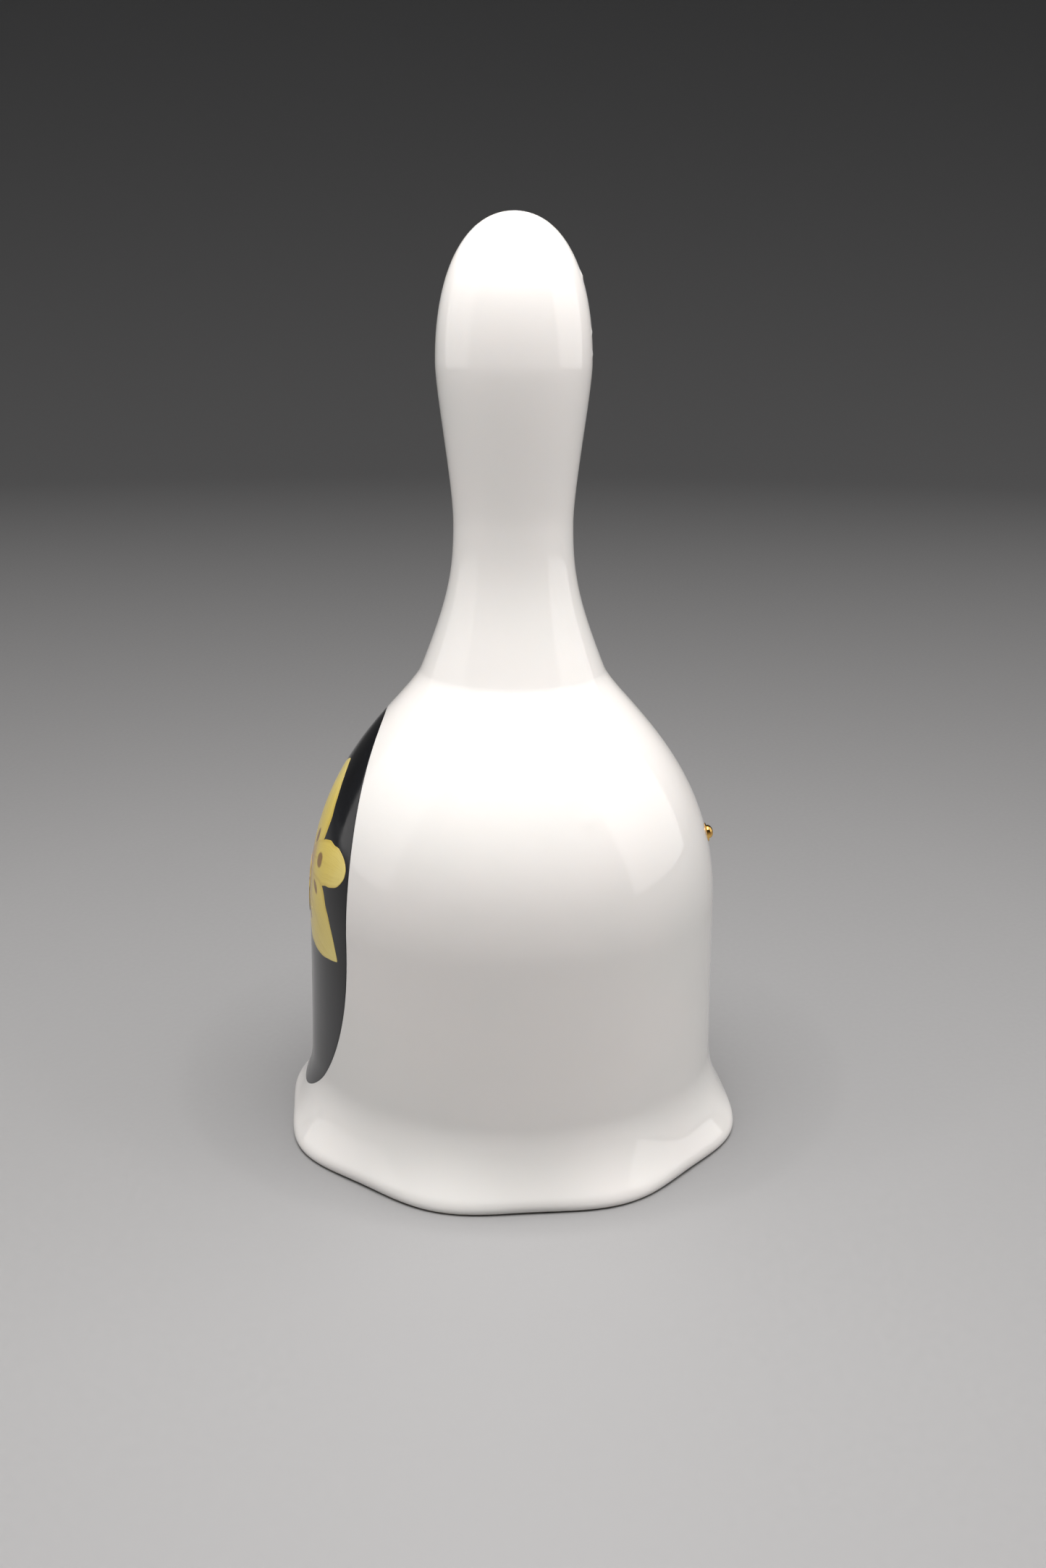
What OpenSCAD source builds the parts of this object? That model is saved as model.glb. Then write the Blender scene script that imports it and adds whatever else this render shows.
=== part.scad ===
// Porcelain hand bell: a fluted bell cup with a hollow grip, a fired transfer of an orchid,
// and a clapper that hangs on wire from a plaster plug in the crown.
// Millimetres, +Z up, the foot of the skirt on z = 0, the transfer faces -Y.

/* [Bell cup] */
// Radius of the bell wall at its waist
wall_r = 31.85; // [30:0.05:34]
// Thickness of the porcelain wall
wall = 2.8; // [2.4:0.1:3.2]
// Height of the crease where the handle is luted on
crease_z = 73.5; // [72:0.5:76]
// Radius of the crease
crease_r = 14.15; // [13.5:0.05:15]

/* [Fluted skirt] */
// Number of flutes round the skirt
flutes = 8; // [5:1:10]
// Turn of the flutes from the front, in degrees
flute_turn = 6; // [0:1:45]
// How far the skirt flares out at the foot, before its lip is rounded
lip_out = 4.9; // [3:0.1:5.5]
// Half of the difference between a ridge and a flute at the lip
flute_depth = 0.75; // [0.2:0.05:0.9]
// Extra radius that the plain wall gains between waist and foot
foot_spread = 0.7; // [0.3:0.1:3]

/* [Handle] */
// Overall height of the bell
total_h = 140; // [136:1:146]
// Radius of the neck
neck_r = 9; // [8.6:0.1:10]
// Largest radius of the grip
grip_r = 11.5; // [11:0.1:13]

/* [Orchid transfer] */
// Half of the width of the black oval, measured round the wall
oval_half_w = 22.4; // [16:0.1:24]
// Lowest point of the black oval
oval_low_z = 5.5; // [5:0.1:14]
// Highest point of the black oval
oval_high_z = 67; // [58:0.5:67]
// Height of the flower's centre
flower_z = 44; // [42:0.5:46]

/* [Clapper] */
// Diameter of the clapper ball
ball_d = 15; // [12:0.5:16]
// Height of the ball's centre when it hangs
ball_z = 24; // [22:0.5:28]
// Diameter of the wire that the clapper rod is bent from
rod_wire_d = 1.4; // [1.2:0.1:1.6]
// Diameter of the wire that the hanger eye is bent from
eye_wire_d = 1.6; // [1.4:0.1:1.8]
// Diameter of the wire that the hook link is bent from
link_wire_d = 1.2; // [1:0.1:1.4]

/* [Hidden] */
$fn = 64;

// Bell wall and skirt
waist_z = 37;                    // the wall is plain and upright here
skirt_z = 12;                    // the skirt flares out below this height
skirt_power = 2;                 // how the flare gathers pace towards the foot
lip_round = 2.4;                 // rounding of the lip's outer edge
foot_w = 1.5;                    // width of the flat foot
throat_r = 9;                    // opening between the cup and the handle
crown_under_z = 69.5;            // underside of the crown
facets = 64;                     // facets round the skirt
join_inset = 0.06;               // the skirt meets the upper wall just inside its edges
dome = [[wall_r, waist_z], [wall_r, waist_z + 21], [crease_r + 3.45, crease_z - 6],
        [crease_r, crease_z]];

// Handle
neck_z = 95.8;
grip_z = 119.1;
handle_wall = 2.6;
plug_top_z = 78;
flare_curve = [[crease_r, crease_z], [neck_r + 1.2, 83.5], [neck_r, 87.7], [neck_r, neck_z]];
swell_curve = [[neck_r, neck_z], [neck_r, 101.5], [grip_r, 114.8], [grip_r, grip_z]];
cap_curve = [[grip_r, grip_z], [grip_r, grip_z + 0.61 * (total_h - grip_z)],
             [0.61 * grip_r, total_h], [0, total_h]];

// Transfers are thin skins that stand just off the glaze
skin_gap = 0.05;
oval_skin = 0.15;
flower_skin = 0.12;

// Clapper: wires hang on each other with a little clearance
wire_gap = 0.08;
eye_r = 3.2;                     // centreline radius of the hanger eye
eye_bottom_z = 62;               // centreline of the eye's lowest point, and the first hinge
link_bend_r = 2.2;               // centreline radius of the link's two bends
link_bottom_z = 55.6;            // centreline of the link's lowest point, and the second hinge
rod_eye_r = 2;                   // centreline radius of the eye on the rod
ball_bore_gap = 0.05;
stop_d = 3;
stop_h = 2.2;

function bezier(p, t) = pow(1 - t, 3) * p[0] + 3 * pow(1 - t, 2) * t * p[1]
                      + 3 * (1 - t) * t * t * p[2] + t * t * t * p[3];
function curve(p, steps) = [for (i = [0:steps]) bezier(p, i / steps)];

// The dome curve's parameter at a height, by halving
function dome_t(z, low = 0, high = 1, n = 20) =
    n == 0 ? (low + high) / 2
    : bezier(dome, (low + high) / 2)[1] < z ? dome_t(z, (low + high) / 2, high, n - 1)
    : dome_t(z, low, (low + high) / 2, n - 1);

// Radius of the plain wall at a height, before the flutes
function plain_r(z) = z > waist_z ? bezier(dome, dome_t(z))[0]
                    : wall_r + foot_spread * pow((waist_z - z) / waist_z, 2);

// Outer radius at an angle from the front and a height
function ridge(a) = flute_depth * -cos(flutes * (a - flute_turn));
function flare(z) = z < skirt_z ? pow(1 - z / skirt_z, skirt_power) : 0;
function outer_r(a, z) = plain_r(z) + (lip_out + ridge(a)) * flare(z);

// A point on the wall, at an angle from the front, a height and a stand-off
function on_wall(a, z, off = 0) = let (r = outer_r(a, z) + off) [r * sin(a), -r * cos(a), z];

// A closed solid from rings of equal length that run from its outer foot over its top and back
function ring_faces(rings, n) = [for (i = [0:rings - 1], j = [0:n - 1])
    let (a = i * n + j, b = i * n + (j + 1) % n,
         c = ((i + 1) % rings) * n + (j + 1) % n, d = ((i + 1) % rings) * n + j)
    each [[a, c, b], [a, d, c]]];

module ring_solid(rings) {
    n = len(rings[0]);
    polyhedron(points = [for (r = rings) each r], faces = ring_faces(len(rings), n));
}

// A skin that follows the wall: a grid of front points and a grid of back points, closed all round
module wall_skin(front, back) {
    rows = len(front);
    cols = len(front[0]);
    n = rows * cols;
    function at(i, j) = i * cols + j;
    polyhedron(
        points = concat([for (r = front) each r], [for (r = back) each r]),
        faces = concat(
            [for (i = [0:rows - 2], j = [0:cols - 2]) each [
                [at(i, j), at(i + 1, j + 1), at(i, j + 1)],
                [at(i, j), at(i + 1, j), at(i + 1, j + 1)],
                [n + at(i, j), n + at(i, j + 1), n + at(i + 1, j + 1)],
                [n + at(i, j), n + at(i + 1, j + 1), n + at(i + 1, j)]]],
            [for (j = [0:cols - 2]) each [
                [at(0, j), at(0, j + 1), n + at(0, j)],
                [n + at(0, j), at(0, j + 1), n + at(0, j + 1)],
                [at(rows - 1, j), n + at(rows - 1, j), at(rows - 1, j + 1)],
                [n + at(rows - 1, j), n + at(rows - 1, j + 1), at(rows - 1, j + 1)]]],
            [for (i = [0:rows - 2]) each [
                [at(i, 0), n + at(i, 0), at(i + 1, 0)],
                [n + at(i, 0), n + at(i + 1, 0), at(i + 1, 0)],
                [at(i, cols - 1), at(i + 1, cols - 1), n + at(i, cols - 1)],
                [n + at(i, cols - 1), at(i + 1, cols - 1), n + at(i + 1, cols - 1)]]]));
}

// ---- the cup -----------------------------------------------------------------------------

function skirt_ring(inset, z) = [for (i = [0:facets - 1])
    let (a = i * 360 / facets, r = outer_r(a, z) - inset) [r * sin(a), -r * cos(a), z]];

module skirt() {
    round_steps = [for (i = [0:4]) 90 - i * 22.5];
    outside = concat(
        [for (z = [3.2, 4.2, 5.2, 6.2, 7.2, 8.2, 9.3, 10.6]) skirt_ring(0, z)],
        [skirt_ring(join_inset, skirt_z)]);
    inside = concat(
        [skirt_ring(wall - 2 * join_inset, skirt_z)],
        [for (z = [10.2, 8.6, 7.2, 5.8, 4.6, 3.4, 2.3, 1.2]) skirt_ring(wall, z)]);
    foot = [for (s = round_steps)
        skirt_ring(lip_round * (1 - cos(90 - s)) , lip_round * (1 - sin(90 - s)))];
    ring_solid(concat(inside, [skirt_ring(lip_round + foot_w, 0)],
                      [for (i = [0:4]) foot[4 - i]], outside));
}

// Upper cup: the plain wall above the skirt, turned about the bell's axis
module upper_cup() {
    inner_top = [throat_r, crown_under_z];
    inner_dome = [[plain_r(waist_z) - wall, waist_z], [plain_r(waist_z) - wall, waist_z + 19],
                  [throat_r + 9, crown_under_z - 2.5], inner_top];
    rotate_extrude($fn = 96)
        polygon(concat(
            [for (i = [0:5]) let (z = skirt_z + i * (waist_z - skirt_z) / 6) [plain_r(z), z]],
            curve(dome, 14),
            [[throat_r, crease_z]],
            [for (i = [0:11]) curve(inner_dome, 11)[11 - i]],
            [for (i = [1:6]) let (z = waist_z - i * (waist_z - skirt_z) / 6) [plain_r(z) - wall, z]]));
}

module bell_cup() {
    color("#f1edea")
        union() {
            skirt();
            upper_cup();
        }
}

// ---- the handle --------------------------------------------------------------------------

module handle() {
    hollow_top = total_h - handle_wall - 0.6;
    color("#f1edea")
        rotate_extrude($fn = 96)
            polygon(concat(
                curve(flare_curve, 10),
                [for (i = [1:8]) bezier(swell_curve, i / 8)],
                [for (i = [1:12]) bezier(cap_curve, i / 12)],
                [[0, hollow_top]],
                [for (i = [1:6]) [(grip_r - handle_wall) * sin(15 * i),
                                  grip_z + (hollow_top - grip_z) * cos(15 * i)]],
                [[neck_r - handle_wall, neck_z], [neck_r - handle_wall, neck_z - 6],
                 [throat_r, plug_top_z], [throat_r, crease_z]]));
}

// ---- the transfers -----------------------------------------------------------------------

// Angle round the wall of a length measured along it
function wall_angle(s, z) = s / plain_r(z) * 180 / PI;

// The black oval: rows from foot to top, each as wide as the oval is there, fuller above
function oval_half(z) = let (t = 2 * (z - oval_low_z) / (oval_high_z - oval_low_z) - 1)
    oval_half_w * pow(max(0, 1 - pow(abs(t), t < 0 ? 2.4 : 2.8)), 0.5) * plain_r(z) / wall_r;

function oval_grid(off) = let (rows = 30, cols = 22)
    [for (i = [0:rows])
        let (z = (oval_low_z + oval_high_z) / 2 - (oval_high_z - oval_low_z) / 2 * cos(6 + i * 168 / rows))
        [for (j = [0:cols])
            on_wall(wall_angle(oval_half(z), z) * (2 * j / cols - 1), z, off)]];

module oval_transfer() {
    color("#141417")
        wall_skin(oval_grid(skin_gap + oval_skin), oval_grid(skin_gap));
}

// A petal: it grows from the flower's centre along a heading, and is widest part way out.
// heading is measured from straight up, towards the right of someone who faces the transfer.
function petal_point(heading, along, across) =
    let (s = along * sin(heading) + across * cos(heading),
         z = flower_z + along * cos(heading) - across * sin(heading))
    [wall_angle(s, z), z];

function petal_half(t, half_w, tip) = half_w * pow(sin(180 * pow(t, tip)), 0.8);

function petal_grid(heading, start, length, half_w, tip, off) = let (rows = 10, cols = 6)
    [for (i = [0:rows])
        let (t = 0.04 + 0.92 * i / rows)
        [for (j = [0:cols])
            let (p = petal_point(heading, start + (length - start) * t,
                                 petal_half(t, half_w, tip) * (2 * j / cols - 1)))
            on_wall(p[0], p[1], off)]];

// Petals that cross lie in layers, each a little further off the wall
module petal(heading, start, length, half_w, tip, layer = 0) {
    off = skin_gap + oval_skin + skin_gap + layer * (flower_skin + skin_gap);
    wall_skin(petal_grid(heading, start, length, half_w, tip, off + flower_skin),
              petal_grid(heading, start, length, half_w, tip, off));
}

module orchid_sepals() {
    color("#d9c24a") {
        petal(5, 3.4, 16.4, 7.6, 0.95);
        for (side = [-1, 1])
            petal(side * 120, 3.8, 22.8, 5.8, 0.85);
    }
}

module orchid_petals() {
    color("#e2cc58")
        for (side = [-1, 1])
            petal(side * 83, 3.6, 20.2, 3.5, 1.35, layer = 1);
}

module orchid_lip() {
    color("#a8683a")
        petal(180, -2.6, 7.5, 3, 1.1, layer = 2);
}

// A raised bead of gold on the side away from the transfer, square to the wall
module gilt_bead() {
    bead_z = 47.3;
    bead_r = 1.1;
    base_r = 1.5;
    base_h = 0.25;
    wall_lean = atan(plain_r(bead_z - 0.5) - plain_r(bead_z + 0.5));
    color("#c79a3a")
        translate([0, plain_r(bead_z), bead_z])
            rotate([wall_lean - 90, 0, 0])
                translate([0, 0, skin_gap])
                    rotate_extrude($fn = 32)
                        polygon(concat([[0, 0], [base_r, 0], [base_r, base_h]],
                            [for (i = [0:6]) [bead_r * cos(15 * i), base_h + 0.8 * bead_r * sin(15 * i)]]));
}

// ---- the clapper's hanger ----------------------------------------------------------------

module wire_ring(centre_r, wire_d) {
    rotate_extrude($fn = 48)
        translate([centre_r, 0])
            circle(d = wire_d, $fn = 24);
}

module crown_plug() {
    plug_bottom_z = crown_under_z;
    color("#d8cfc0")
        difference() {
            translate([0, 0, plug_bottom_z])
                cylinder(r = throat_r, h = plug_top_z - plug_bottom_z);
            translate([0, 0, plug_bottom_z - 1])
                cylinder(d = eye_wire_d, h = plug_top_z - plug_bottom_z, $fn = 32);
        }
}

module hanger_eye() {
    eye_z = eye_bottom_z + eye_r;
    color("#b9a15c")
        union() {
            translate([0, 0, eye_z])
                rotate([90, 0, 0])
                    wire_ring(eye_r, eye_wire_d);
            translate([0, 0, eye_z + eye_r])
                cylinder(d = eye_wire_d, h = plug_top_z - 1 - eye_z - eye_r, $fn = 32);
        }
}

// A closed oval link in the YZ plane, hung over the eye's lowest point
module hook_link() {
    bend_top_z = eye_bottom_z + (eye_wire_d + link_wire_d) / 2 + wire_gap - link_bend_r;
    bend_low_z = link_bottom_z + link_bend_r;
    color("#b9a15c")
        union() {
            for (end = [[bend_top_z, 0], [bend_low_z, 180]])
                translate([0, 0, end[0]])
                    rotate([90 + end[1], 0, 90])
                        rotate_extrude(angle = 180, $fn = 48)
                            translate([link_bend_r, 0])
                                circle(d = link_wire_d, $fn = 24);
            for (side = [-1, 1])
                translate([0, side * link_bend_r, bend_low_z])
                    cylinder(d = link_wire_d, h = bend_top_z - bend_low_z, $fn = 24);
        }
}

module clapper_rod() {
    rod_eye_z = link_bottom_z + (rod_wire_d + link_wire_d) / 2 + wire_gap - rod_eye_r;
    rod_low_z = ball_z - ball_d / 2 - stop_h;
    color("#b9a15c")
        union() {
            translate([0, 0, rod_eye_z])
                rotate([90, 0, 0])
                    wire_ring(rod_eye_r, rod_wire_d);
            translate([0, 0, rod_low_z])
                cylinder(d = rod_wire_d, h = rod_eye_z - rod_eye_r - rod_low_z, $fn = 32);
        }
}

module clapper_ball() {
    color("#efe9e2")
        difference() {
            translate([0, 0, ball_z])
                sphere(d = ball_d);
            translate([0, 0, ball_z - ball_d])
                cylinder(d = rod_wire_d + 2 * ball_bore_gap, h = 2 * ball_d, $fn = 32);
        }
}

// A soft tube crimped on the end of the rod, with a domed underside
module ball_stop() {
    top_z = ball_z - ball_d / 2 + 0.02;
    color("#b9a15c")
        difference() {
            translate([0, 0, top_z - stop_h])
                rotate_extrude($fn = 32)
                    polygon(concat([[0, 0]],
                        [for (i = [0:4]) [0.9 + (stop_d / 2 - 0.9) * sin(22.5 * i),
                                          (stop_d / 2 - 0.9) * (1 - cos(22.5 * i))]],
                        [[stop_d / 2, stop_h - 0.3], [stop_d / 2 - 0.3, stop_h], [0, stop_h]]));
            translate([0, 0, top_z - stop_h - 1])
                cylinder(d = rod_wire_d, h = stop_h + 2, $fn = 32);
        }
}

bell_cup();
handle();
oval_transfer();
orchid_sepals();
orchid_petals();
orchid_lip();
gilt_bead();
crown_plug();
hanger_eye();
hook_link();
clapper_rod();
clapper_ball();
ball_stop();
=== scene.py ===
import math

import bmesh
import bpy
import numpy as np
from mathutils import Matrix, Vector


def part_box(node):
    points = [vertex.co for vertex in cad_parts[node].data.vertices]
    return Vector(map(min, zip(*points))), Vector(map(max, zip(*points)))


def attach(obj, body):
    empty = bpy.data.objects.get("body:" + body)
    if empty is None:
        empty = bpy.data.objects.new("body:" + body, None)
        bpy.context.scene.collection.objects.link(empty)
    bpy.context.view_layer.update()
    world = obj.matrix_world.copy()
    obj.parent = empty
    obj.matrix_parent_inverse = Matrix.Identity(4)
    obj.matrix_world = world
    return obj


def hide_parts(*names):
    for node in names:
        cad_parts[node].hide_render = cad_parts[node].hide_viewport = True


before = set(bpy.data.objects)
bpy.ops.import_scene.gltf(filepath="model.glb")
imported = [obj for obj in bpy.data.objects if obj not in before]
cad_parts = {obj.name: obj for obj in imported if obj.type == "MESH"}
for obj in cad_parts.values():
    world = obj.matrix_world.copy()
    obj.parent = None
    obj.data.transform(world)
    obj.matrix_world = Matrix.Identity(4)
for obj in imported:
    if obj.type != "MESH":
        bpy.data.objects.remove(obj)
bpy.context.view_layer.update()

mm = 0.001  # the sizes below are in millimetres, the meshes in metres

eye = {
    "distance": 252.6,  # along +X from the bell's axis
    "right": 1.7,  # along +Y
    "height": 131.6,
    "pitch": 16.87,  # degrees below level
    "roll": 0.35,
    "lens": 38.74,
}


# The camera stands on +X and looks back along -X, pitched down and rolled a little.
# Its axes are columns: right, up and backwards.
def makeCamera():
    pitch = math.radians(eye["pitch"])
    roll = math.radians(eye["roll"])
    right = np.array([0, 1, 0])
    back = np.array([math.cos(pitch), 0, math.sin(pitch)])
    up = np.cross(back, right)
    turnedRight = right * math.cos(roll) + up * math.sin(roll)
    turnedUp = up * math.cos(roll) - right * math.sin(roll)
    place = np.array([eye["distance"], eye["right"], eye["height"]]) * mm
    camera = bpy.data.objects.new("camera", bpy.data.cameras.new("camera"))
    camera.data.lens = eye["lens"]
    camera.data.sensor_width = 36
    camera.data.clip_start = 0.01
    axes = np.eye(4)
    axes[:3, 0], axes[:3, 1], axes[:3, 2], axes[:3, 3] = turnedRight, turnedUp, back, place
    camera.matrix_world = Matrix(axes.tolist())
    bpy.context.scene.collection.objects.link(camera)
    bpy.context.scene.camera = camera


makeCamera()
print("camera placed")


# Cubic curve through four handles: each point is their mean, weighted by (1-t) and t cubed
def bezier(handles, count):
    t = np.linspace(0, 1, count)[:, None]
    p = np.array(handles, float)
    return (1 - t)**3 * p[0] + 3 * (1 - t)**2 * t * p[1] + 3 * (1 - t) * t**2 * p[2] + t**3 * p[3]


# Eases from 0 to 1: three t squared less two t cubed
def smoothStep(t):
    t = np.clip(t, 0, 1)
    return t * t * (3 - 2 * t)


# Turns a profile of radius and height about the axis: angle 0 is the front (-Y), 90 is +X
def turned(radius, angle, height):
    radius, angle, height = np.broadcast_arrays(radius, angle, height)
    return np.stack([radius * np.sin(angle), -radius * np.cos(angle), height], -1)


def roundAngles(count):
    return np.linspace(0, 2 * np.pi, count, endpoint=False)


# Quads and end fans over a stack of rings; wrap joins the last ring to the first, and
# poles are the two points that close the ends
def ringShell(rings, poles=None, wrap=False, pattern=None):
    count, around = rings.shape[:2]
    i = np.arange(count if wrap else count - 1)[:, None] * around
    j = np.arange(around)[None, :]
    k = (j + 1) % around
    size = count * around
    quads = np.stack([i + j, i + k, (i + around) % size + k, (i + around) % size + j], -1)
    faces = quads.reshape(-1, 4).tolist()
    points = rings.reshape(-1, 3)
    pattern = np.zeros((size, 2)) if pattern is None else pattern.reshape(-1, 2)
    if poles is not None:
        ends = np.full(around, size)
        faces += np.stack([k[0], j[0], ends], -1).tolist()
        faces += np.stack([size - around + j[0], size - around + k[0], ends + 1], -1).tolist()
        points = np.vstack([points, poles])
        pattern = np.vstack([pattern, pattern[:1], pattern[-1:]])
    return points, faces, pattern


# One object from closed shells: faces turned outwards, smooth but for edges over 35 degrees
def makePiece(name, shells, material, body, nodes):
    points, faces, pattern, start = [], [], [], 0
    for shellPoints, shellFaces, shellPattern in shells:
        points.append(shellPoints)
        pattern.append(shellPattern)
        faces += [[start + v for v in face] for face in shellFaces]
        start += len(shellPoints)
    mesh = bpy.data.meshes.new(name)
    mesh.from_pydata((np.vstack(points) * mm).tolist(), [], faces)
    work = bmesh.new()
    work.from_mesh(mesh)
    bmesh.ops.recalc_face_normals(work, faces=work.faces)
    work.to_mesh(mesh)
    work.free()
    corners = np.empty(len(mesh.loops), int)
    mesh.loops.foreach_get("vertex_index", corners)
    layer = mesh.uv_layers.new(name="pattern")
    layer.data.foreach_set("uv", np.vstack(pattern)[corners].astype(np.float32).ravel())
    mesh.polygons.foreach_set("use_smooth", np.ones(len(mesh.polygons), bool))
    mesh.set_sharp_from_angle(angle=math.radians(35))
    mesh.materials.append(material)
    piece = bpy.data.objects.new(name, mesh)
    bpy.context.scene.collection.objects.link(piece)
    if body is not None:
        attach(piece, body)
        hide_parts(*nodes)
    return piece


# A round wire along a path: at each station a circle stands square to the path, its first
# axis square to the reference direction; the ends are cut flat with a small chamfer
def wireShell(path, radius, reference, sides=20):
    along = np.gradient(path, axis=0)
    along /= np.linalg.norm(along, axis=1, keepdims=True)
    across = np.cross(np.broadcast_to(reference, path.shape), along)
    across /= np.linalg.norm(across, axis=1, keepdims=True)
    up = np.cross(along, across)
    chamfer = 0.18 * radius
    centres = np.vstack([path[:1] - chamfer * along[:1], path, path[-1:] + chamfer * along[-1:]])
    across = np.vstack([across[:1], across, across[-1:]])
    up = np.vstack([up[:1], up, up[-1:]])
    size = np.full(len(centres), radius)
    size[[0, -1]] -= chamfer
    turn = roundAngles(sides)
    ring = np.cos(turn)[None, :, None] * across[:, None] + np.sin(turn)[None, :, None] * up[:, None]
    rings = centres[:, None] + size[:, None, None] * ring
    steps = np.linalg.norm(np.diff(centres, axis=0), axis=1)
    travelled = np.concatenate([[0], np.cumsum(steps)])
    pattern = np.stack(np.broadcast_arrays(turn[None, :] / (2 * np.pi), travelled[:, None]), -1)
    return ringShell(rings, centres[[0, -1]], pattern=pattern)


# Fills a node's inputs: each is a value or another node's output
def feed(tree, made, inputs):
    for key, value in inputs.items():
        if isinstance(value, bpy.types.NodeSocket):
            tree.links.new(value, made.inputs[key])
        else:
            made.inputs[key].default_value = value
    return made


# A shader node with its settings and inputs
def addNode(tree, kind, inputs=None, **settings):
    made = tree.nodes.new("ShaderNode" + kind)
    for key, value in settings.items():
        setattr(made, key, value)
    return feed(tree, made, inputs or {})


def mathNode(tree, operation, first, second=0.0):
    return addNode(tree, "Math", {0: first, 1: second}, operation=operation).outputs[0]


# Eases from 0 to 1 as the value goes from low to high
def rampNode(tree, value, low, high, start=0.0, end=1.0):
    made = addNode(tree, "MapRange", {"Value": value, "From Min": low, "From Max": high,
                                      "To Min": start, "To Max": end},
                   interpolation_type="SMOOTHSTEP")
    return made.outputs["Result"]


# A Mix node keeps its colours in inputs 6 and 7 and puts them out at 2
def mixColour(tree, factor, first, second):
    return addNode(tree, "Mix", {0: factor, 6: first, 7: second}, data_type="RGBA").outputs[2]


# Cloudy noise from 0 to 1, finer with scale and detail
def noiseNode(tree, place, scale, detail, **more):
    return addNode(tree, "TexNoise", {"Vector": place, "Scale": scale, "Detail": detail,
                                      **more}).outputs["Fac"]


def mixValue(tree, factor, first, second):
    return addNode(tree, "Mix", {0: factor, 2: first, 3: second}).outputs[0]


def colour(red, green, blue):
    return (red, green, blue, 1.0)


# A node group with named sockets: inputs are (name, kind, value), outputs are (name, kind)
def newGroup(name, inputs, outputs):
    group = bpy.data.node_groups.new(name, "ShaderNodeTree")
    for socketName, kind, value in inputs:
        socket = group.interface.new_socket(socketName, in_out="INPUT",
                                            socket_type="NodeSocket" + kind)
        if value is not None:
            socket.default_value = value
    for socketName, kind in outputs:
        group.interface.new_socket(socketName, in_out="OUTPUT",
                                   socket_type="NodeSocket" + kind)
    entry = group.nodes.new("NodeGroupInput")
    leave = group.nodes.new("NodeGroupOutput")
    return group, entry.outputs, leave.inputs


def useGroup(tree, group, inputs):
    return feed(tree, addNode(tree, "Group", node_tree=group), inputs).outputs


# An empty material with its Principled shader; constants are set on the shader's own sockets
def newMaterial(name, **constants):
    material = bpy.data.materials.new(name)
    material.use_nodes = True
    tree = material.node_tree
    shader = tree.nodes["Principled BSDF"]
    for key, value in constants.items():
        shader.inputs[key.replace("_", " ")].default_value = value
    return material, tree, shader


def objectPlace(tree):
    return addNode(tree, "TexCoord").outputs["Object"]


# The mesh's own pattern: across and along a petal, or round and along a wire
def patternPlace(tree):
    return addNode(tree, "UVMap", uv_map="pattern").outputs["UV"]


def stretched(tree, pattern, across, along):
    return addNode(tree, "Mapping", {"Vector": pattern,
                                     "Scale": (across, along, 1.0)}).outputs["Vector"]


def bumpNode(tree, height, strength, distance):
    return addNode(tree, "Bump", {"Strength": strength, "Distance": distance * mm,
                                  "Height": height}).outputs["Normal"]


# Fired glaze: a soft orange peel, a slow pooling of the melt, and sparse specks and pinholes
def makeGlazeGroup():
    group, given, out = newGroup(
        "firedGlaze",
        [("Place", "Vector", None), ("Peel Scale", "Float", 450.0), ("Speck Share", "Float", 0.05)],
        [("Height", "Float"), ("Pool", "Float"), ("Speck", "Float")])
    peel = noiseNode(group, given["Place"], given["Peel Scale"], 1.5, Roughness=0.4)
    slow = noiseNode(group, given["Place"], 42.0, 2.0)
    cells = addNode(group, "TexVoronoi", {"Vector": given["Place"], "Scale": 210.0},
                    feature="F1", distance="EUCLIDEAN")
    pick = addNode(group, "SeparateColor", {"Color": cells.outputs["Color"]}).outputs[0]
    chosen = mathNode(group, "LESS_THAN", pick, given["Speck Share"])
    dot = rampNode(group, cells.outputs["Distance"], 0.11, 0.04)
    speck = mathNode(group, "MULTIPLY", chosen, dot)
    waves = mathNode(group, "ADD", peel, mathNode(group, "MULTIPLY", slow, 2.4))
    group.links.new(mathNode(group, "SUBTRACT", waves, mathNode(group, "MULTIPLY", speck, 0.6)),
                    out["Height"])
    group.links.new(rampNode(group, slow, 0.35, 0.7), out["Pool"])
    group.links.new(speck, out["Speck"])
    return group


# Handling: faint smears and dry dust, as a mask that dulls the gloss
def makeHandlingGroup():
    group, given, out = newGroup(
        "handling",
        [("Place", "Vector", None), ("Smear Scale", "Float", 60.0)],
        [("Smear", "Float"), ("Dust", "Float")])
    bent = noiseNode(group, given["Place"], given["Smear Scale"], 5.0, Roughness=0.62,
                     Distortion=1.2)
    dust = noiseNode(group, given["Place"], 2600.0, 2.0)
    group.links.new(rampNode(group, bent, 0.44, 0.72), out["Smear"])
    group.links.new(rampNode(group, dust, 0.62, 0.8), out["Dust"])
    return group


glazeGroup = makeGlazeGroup()
handlingGroup = makeHandlingGroup()
print("shared effects ready")


porcelain = {
    "body": colour(0.83, 0.805, 0.785),  # warm white
    "pool": colour(0.795, 0.785, 0.765),  # where the glaze lies thicker
    "speck": colour(0.34, 0.25, 0.17),
    "bisque": colour(0.70, 0.665, 0.60),  # unglazed foot
    "footSoil": colour(0.38, 0.35, 0.31),
    "gloss": 0.07,
    "smeared": 0.16,
    "peelDepth": 0.012,
    "peelScale": 420.0,
    "footGlaze": 0.28,  # the glaze is wiped off below this height
}


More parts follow.
